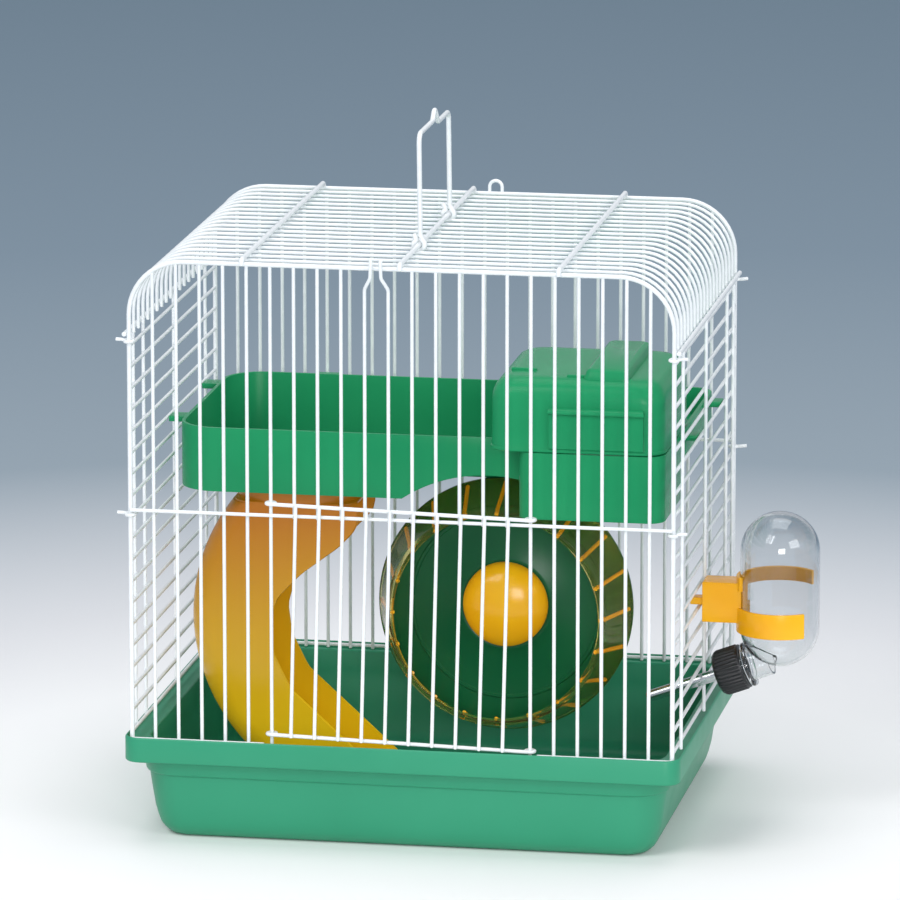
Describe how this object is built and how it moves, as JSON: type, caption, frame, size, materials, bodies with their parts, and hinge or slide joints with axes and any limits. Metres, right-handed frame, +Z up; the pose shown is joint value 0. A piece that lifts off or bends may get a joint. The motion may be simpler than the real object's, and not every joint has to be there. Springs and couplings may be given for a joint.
{
  "type": "hamster cage",
  "caption": "Small wire cage on a deep plastic tray, with a lift-up door, folding carry handle, loft, nest box, slide, running wheel and clip-on water bottle.",
  "frame": {"origin": "centre of the flat underside of the tray, on the surface the cage stands on", "axes": "+Z up; the front with the door faces -Y; +X is to the right seen from the front, where the water bottle hangs"},
  "size_m": [0.3754, 0.242, 0.3955],
  "materials": {
    "tray_plastic": "satin green moulded plastic",
    "coated_wire": "white coated steel wire",
    "green_plastic": "glossy green moulded plastic",
    "dark_green_plastic": "dark green moulded plastic",
    "amber_plastic": "translucent amber moulded plastic",
    "bright_steel": "bright drawn steel",
    "clear_plastic": "clear moulded plastic",
    "black_plastic": "black ribbed screw cap",
    "black_rubber": "soft black seal"
  },
  "bodies": {
    "tray": {"base_tray": "tray_plastic"},
    "cage": {"front_frame": "coated_wire", "front_bars": "coated_wire", "front_rails": "coated_wire", "front_latch": "coated_wire", "rear_frame": "coated_wire", "rear_bars": "coated_wire", "rear_rails": "coated_wire", "rear_latch_loop": "coated_wire", "left_side_wires": "coated_wire", "left_side_posts": "coated_wire", "right_side_wires": "coated_wire", "right_side_posts": "coated_wire", "roof_wires": "coated_wire", "roof_corner_wires": "coated_wire", "roof_ribs": "coated_wire", "roof_eaves": "coated_wire", "corner_clips": "coated_wire", "loft": "green_plastic", "loft_clips": "green_plastic", "nest_base": "green_plastic", "slide_chute": "amber_plastic", "wheel_axle": "bright_steel", "wheel_washer": "bright_steel", "wheel_bracket": "green_plastic"},
    "door": {"door_rails": "coated_wire", "door_wires": "coated_wire"},
    "handle": {"carry_handle": "coated_wire", "handle_eyes": "coated_wire"},
    "wheel": {"wheel_track": "amber_plastic", "wheel_rungs": "amber_plastic", "wheel_disc": "dark_green_plastic", "wheel_hub": "amber_plastic"},
    "nest_lid": {"nest_roof": "green_plastic"},
    "bottle_unit": {"bottle_body": "clear_plastic", "bottle_holder": "amber_plastic"},
    "bottle_screw_cap": {"bottle_cap": "black_plastic", "cap_seal": "black_rubber", "drinking_tube": "bright_steel", "drinking_ball": "bright_steel"}
  },
  "joints": [
    {"name": "cage_lift", "type": "slide", "parent": "tray", "child": "cage", "axis": [0, 0, 1], "range_m": [0, 0.12]},
    {"name": "door_slide", "type": "slide", "parent": "cage", "child": "door", "axis": [0, 0, 1], "range_m": [0, 0.12]},
    {"name": "handle_fold", "type": "hinge", "parent": "cage", "child": "handle", "pos_m": [0, 0, 0.32775], "axis": [0, 1, 0], "range_deg": [-86, 86]},
    {"name": "wheel_spin", "type": "hinge", "parent": "cage", "child": "wheel", "pos_m": [0.038, 0, 0.1134], "axis": [0, 1, 0], "continuous": true},
    {"name": "nest_lid_lift", "type": "slide", "parent": "cage", "child": "nest_lid", "axis": [0, 0, 1], "range_m": [0, 0.045]},
    {"name": "bottle_pull_off", "type": "slide", "parent": "cage", "child": "bottle_unit", "axis": [0.9367, 0, 0.3502], "range_m": [0, 0.08]},
    {"name": "bottle_cap_turn", "type": "hinge", "parent": "bottle_unit", "child": "bottle_screw_cap", "pos_m": [0.1955, -0.02, 0.0967], "axis": [-0.9367, 0, -0.3502], "range_deg": [0, 360]}
  ]
}
